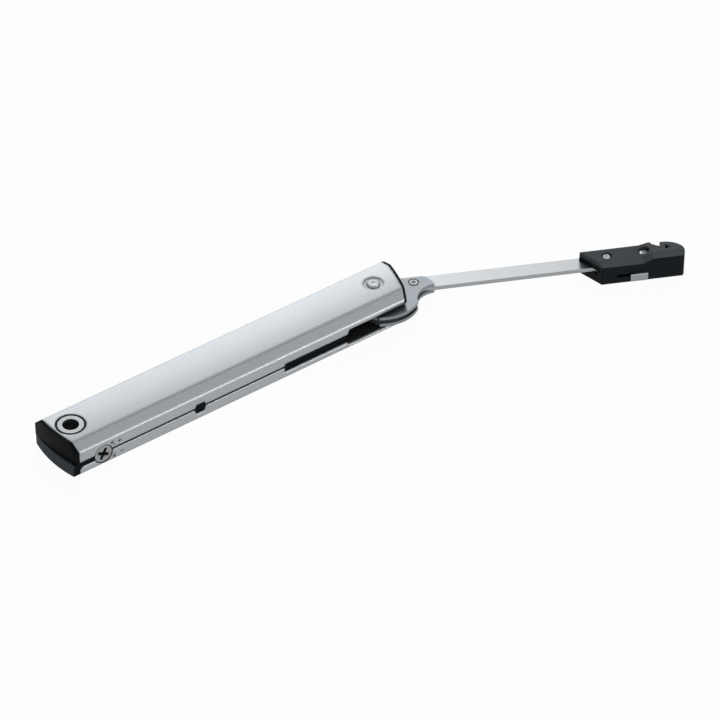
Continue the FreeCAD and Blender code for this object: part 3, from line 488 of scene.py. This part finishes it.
# the marks are drawn in millimetres and degrees on the housing's near wall
marks = {"radius": 6.6, "upper": (20, 48), "lower": (-20, -40), "plus": (16.4, 9.0), "minus": (17.4, 2.4),
         "size": 1.0, "wide": 0.46, "head": 0.75, "lift": 0.1, "flat": 5, "steep": 80, "steps": 12,
         "low": 14.7, "high": 14.82}
ink = {"base": 0.2, "spread": 0.02, "cool": 0.25, "rough": 0.5, "shine": 0.2, "grain": 3000,
       "edge": 0.00005}


def arcPath(start, end):
    # a run of points about the adjusting screw, between two angles
    angle = np.radians(np.linspace(start, end, marks["steps"]))
    centre = np.array(screw["place"]) * 1000
    return np.stack([centre[0] + marks["radius"] * np.cos(angle),
                     centre[1] + marks["radius"] * np.sin(angle)], axis=-1)


def barPath(centre, angle, length):
    run = np.array([math.cos(angle), math.sin(angle)]) * length
    return np.array([np.array(centre) - run, np.array(centre) + run])


def ribbon(path):
    # a rectangle carried along the path: half the width to each side of it, and between two depths in y
    step = np.gradient(path, axis=0)
    side = np.stack([-step[:, 1], step[:, 0]], axis=-1) / np.linalg.norm(step, axis=1)[:, None]
    side = side * marks["wide"] / 2
    corners = [(-1, marks["low"]), (-1, marks["high"]), (1, marks["high"]), (1, marks["low"])]
    points = np.stack([np.column_stack([path[:, 0] + way * side[:, 0], np.full(len(path), -depth),
                                        path[:, 1] + way * side[:, 1]]) for way, depth in corners], axis=1)
    return points.reshape(-1, 3) / 1000


def arrowHead(tip, way):
    # two bars at the arrow's tip, one nearly level and one nearly upright, mirrored for the lower arrow
    head, lift = marks["head"], marks["lift"]
    return [barPath(tip + (head, way * lift), way * math.radians(marks["flat"]), head),
            barPath(tip + (lift, way * head), way * math.radians(marks["steep"]), head)]


def turnMarks():
    # curved arrows beside the screw, with the signs for a stronger and a weaker spring
    upper, lower = arcPath(*marks["upper"]), arcPath(*marks["lower"])
    paths = [upper, *arrowHead(upper[-1], -1), lower, *arrowHead(lower[-1], 1),
             barPath(marks["plus"], 0, marks["size"]), barPath(marks["plus"], math.pi / 2, marks["size"]),
             barPath(marks["minus"], 0, marks["size"])]
    points, faces, first = [], [], 0
    for path in paths:
        count = len(path) * 4
        ends = np.array([[0, 1, 2, 3], [count - 1, count - 2, count - 3, count - 4]])
        faces.append(np.concatenate([gridFaces(len(path), 4, True)[:, ::-1], ends]) + first)
        points.append(ribbon(path))
        first += count
    return meshPiece("turn_marks", np.concatenate(points), np.concatenate(faces).tolist(),
                     "housing", mouldedPlastic("mark_ink", ink), False)


turnMarks()
print("turn marks made")

spring = {"radius": 0.0047, "wire": 0.0017, "turns": 15, "rows": 240, "around": 10,
          "coat": finishes["spring_steel"], "seatTravel": 0.008, "sliderTravel": 0.0066}
# the latch spring gets the near black look, painted shade of its slot
latchSpring = {"radius": 0.00075, "wire": 0.0003, "turns": 6, "rows": 160, "around": 8,
               "coat": brushedSteel("latch_spring_steel", paintedSlotShade), "start": 0.0038, "end": 0.012,
               "across": -0.00585, "height": 0.00395, "travel": 0.0055}
wholeRun, rearHalf, frontHalf = (0.0, 1.0), (0.0, 0.5), (0.5, 1.0)


def coilSpring(name, node, body, look, ends, share, travel):
    # a round section carried along a helix about the line between two ends: with the angle t, the way along
    # grows evenly, the way to the side is the radius times cos t and the way up is the radius times sin t;
    # share is the part of the line that this piece covers
    start, run = ends[0], ends[1] - ends[0]
    length = np.linalg.norm(run)
    axis = run / length
    side = np.array([-axis[1], axis[0], 0.0])
    u = np.linspace(share[0], share[1], look["rows"])[:, None]
    v = np.linspace(0, 2 * math.pi, look["around"], endpoint=False)[None, :]
    half = look["wire"] / 2
    angle = 2 * math.pi * look["turns"] * u
    away = look["radius"] - half + half * np.cos(v)
    along = half + (length - 2 * half) * u + half * np.sin(v)
    sideways = away * np.cos(angle)
    points = start + np.stack([along * axis[0] + sideways * side[0], along * axis[1] + sideways * side[1],
                               away * np.sin(angle)], axis=-1)
    rows, columns = points.shape[:2]
    caps = [list(range(columns)), list(range((rows - 1) * columns, rows * columns))[::-1]]
    faces = gridFaces(rows, columns, True)[:, ::-1].tolist() + caps
    made = meshPiece(name, points.reshape(-1, 3), faces, body, look["coat"])
    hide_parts(node)
    1 - travel / (length * (share[1] - share[0]))
    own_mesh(made)


for side in ("near", "far"):
    low, high = (np.array(corner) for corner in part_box("spring_" + side))
    middle = (low + high) / 2
    ends = [np.array([place[0], middle[1], middle[2]]) for place in (low, high)]
    coilSpring("coil_" + side + "_rear", "spring_" + side, "housing", spring, ends, rearHalf,
               spring["seatTravel"])
    coilSpring("coil_" + side + "_front", "spring_" + side, "housing", spring, ends, frontHalf,
               spring["sliderTravel"])
turned = np.array([[math.cos(gripTurn), math.sin(gripTurn)], [-math.sin(gripTurn), math.cos(gripTurn)]])
latchEnds = []
for along in (latchSpring["start"], latchSpring["end"]):
    level = np.array([along, latchSpring["across"]]) @ turned + frontRivet
    latchEnds.append(np.append(level, latchSpring["height"]))
coilSpring("coil_latch", "latch_spring", "connector", latchSpring, latchEnds, wholeRun,
           latchSpring["travel"])
print("springs made")


# camera and light; the lens and the sensor are in millimetres

shot = {"azimuth": -36.58, "elevation": 39.86, "distance": 1.9751, "target": (0.13763, -0.03311, 0.008),
        "lens": 214.1, "sensor": 36, "far": 50}
light = {"world": 0.27, "mirror": 0.82}
lamps = {
    "key": {"place": (0.85, 1.15, 0.85), "size": 0.8, "power": 4.1},
    "rim": {"place": (1.09, 1.3, 0.35), "size": (1.2, 0.3), "power": 2.0},
    "strip": {"place": (0.92, -1.36, 0.18), "size": (1.1, 0.4), "power": 10.0},
}
ground = {"tone": 0.72, "glow": 1.08, "glowShare": 0.88, "size": 8, "drop": 0.0003}

azimuth, elevation = math.radians(shot["azimuth"]), math.radians(shot["elevation"])
back = Vector((math.sin(azimuth) * math.cos(elevation), -math.cos(azimuth) * math.cos(elevation),
               math.sin(elevation)))
camera = bpy.data.objects.new("camera", bpy.data.cameras.new("camera"))
camera.data.lens = shot["lens"]
camera.data.sensor_width = shot["sensor"]
camera.data.clip_end = shot["far"]
camera.location = Vector(shot["target"]) + back * shot["distance"]
camera.rotation_mode = "QUATERNION"
camera.rotation_quaternion = (-back).to_track_quat("-Z", "Y")
bpy.context.scene.collection.objects.link(camera)
bpy.context.scene.camera = camera


def softLight(name, place, size, power):
    # a lamp that faces the target, a disc or, where the size has two values, a rectangle
    lamp = bpy.data.lights.new(name, "AREA")
    if isinstance(size, tuple):
        lamp.shape = "RECTANGLE"
        lamp.size, lamp.size_y = size
    else:
        lamp.shape = "DISK"
        lamp.size = size
    lamp.energy = power
    made = bpy.data.objects.new(name, lamp)
    made.location = place
    made.rotation_mode = "QUATERNION"
    made.rotation_quaternion = (Vector(shot["target"]) - Vector(place)).to_track_quat("-Z", "Y")
    bpy.context.scene.collection.objects.link(made)


for name, lamp in lamps.items():
    softLight(name, lamp["place"], lamp["size"], lamp["power"])


def seenRays(s, mirrored=1.0):
    # 1 for rays from the camera and passed rays, a share for mirrored rays, 0 for light that is scattered
    direct = s.node("ShaderNodeLightPath", out="Is Camera Ray")
    glossy = s.node("ShaderNodeLightPath", out="Is Glossy Ray")
    passed = s.node("ShaderNodeLightPath", out="Is Transmission Ray")
    return s.node("ShaderNodeClamp", {}, {"Value": direct + glossy * mirrored + passed})


def paleWorld():
    # even pale light; the camera sees plain white, and mirrored rays see a little less than that
    s = Surface(bpy.context.scene.world or bpy.data.worlds.new("studio"))
    bpy.context.scene.world = s.owner
    strength = light["world"] + seenRays(s, light["mirror"]) * (1 - light["world"])
    glow = s.node("ShaderNodeBackground", {}, {"Color": (1, 1, 1, 1), "Strength": strength})
    s.node("ShaderNodeOutputWorld", {}, {"Surface": glow})


def paleFloor():
    # white to the camera, with part of its real shading left so that the object keeps a soft shadow
    s = newSurface("floor_white")
    matt = s.node("ShaderNodeBsdfDiffuse", {}, {"Color": grey(ground["tone"])})
    glow = s.node("ShaderNodeEmission", {}, {"Color": (1, 1, 1, 1), "Strength": ground["glow"]})
    mixed = s.node("ShaderNodeMixShader", {}, {0: seenRays(s) * ground["glowShare"], 1: matt, 2: glow})
    s.node("ShaderNodeOutputMaterial", {}, {"Surface": mixed})
    bpy.ops.mesh.primitive_plane_add(size=ground["size"], location=(0, 0, -ground["drop"]))
    floor = bpy.context.object
    floor.name = "floor"
    floor.data.materials.append(s.owner)


paleWorld()
paleFloor()
bpy.context.scene.view_settings.view_transform = "Standard"
print("camera, lights and floor set")
